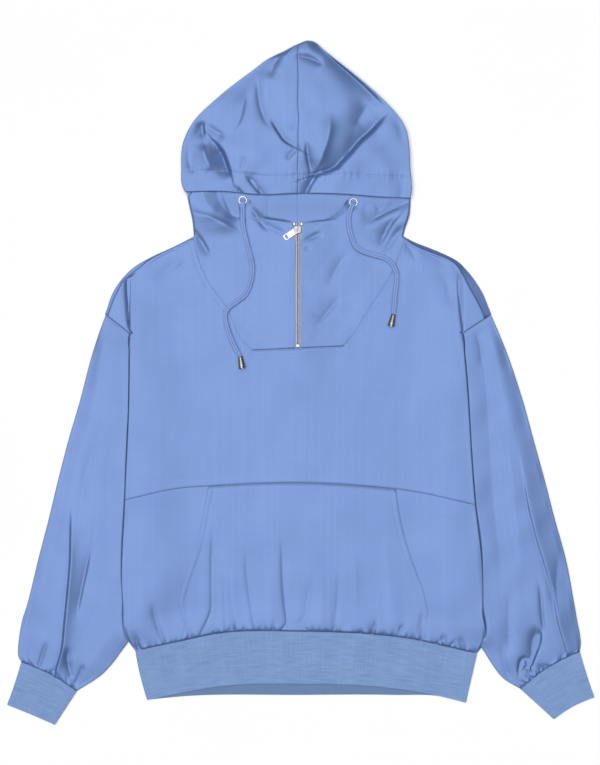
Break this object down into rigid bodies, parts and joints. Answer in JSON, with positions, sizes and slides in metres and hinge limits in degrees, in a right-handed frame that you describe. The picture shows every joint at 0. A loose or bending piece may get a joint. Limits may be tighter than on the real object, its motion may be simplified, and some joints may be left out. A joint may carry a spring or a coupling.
{
  "type": "hooded half-zip track jacket",
  "caption": "Oversized satin pullover laid flat on its back: gathered balloon sleeves, rib cuffs and hem band, kangaroo pocket, drawcord hood and a zip in the neck insert.",
  "frame": {"origin": "middle of the garment's outline on the surface it lies on", "axes": "+Z out of the front, away from the surface; +Y from the hem band to the hood; +X towards the wearer's left sleeve"},
  "size_m": [0.8522, 0.9889, 0.0152],
  "materials": {
    "satin": "periwinkle blue polyester satin with a soft sheen",
    "rib": "matt rib knit, a shade darker than the satin",
    "tape": "pale woven zip tape",
    "nickel": "polished nickel",
    "cord": "doubled blue satin cord"
  },
  "bodies": {
    "garment": {"back_panel": "satin", "front_upper": "satin", "front_lower": "satin", "pocket": "satin", "sleeve_left": "satin", "sleeve_right": "satin", "cuff_left": "rib", "cuff_right": "rib", "hem_band": "rib", "hood_left": "satin", "hood_right": "satin", "neck_insert_left": "satin", "neck_insert_right": "satin", "zip_tape_left": "tape", "zip_tape_right": "tape", "zip_chain": "nickel", "zip_slider": "nickel", "zip_stop_left": "nickel", "zip_stop_right": "nickel", "zip_stop_foot": "nickel", "eyelet_left": "nickel", "eyelet_right": "nickel", "cord_left": "cord", "cord_right": "cord", "cord_end_left": "nickel", "cord_end_right": "nickel"},
    "tab": {"pull_tab": "nickel"}
  },
  "joints": [
    {"name": "tab_flip", "type": "hinge", "parent": "garment", "child": "tab", "pos_m": [-0.0036, 0.2207, 0.008], "axis": [-0.5505, 0.8348, 0], "range_deg": [0, 150]}
  ]
}
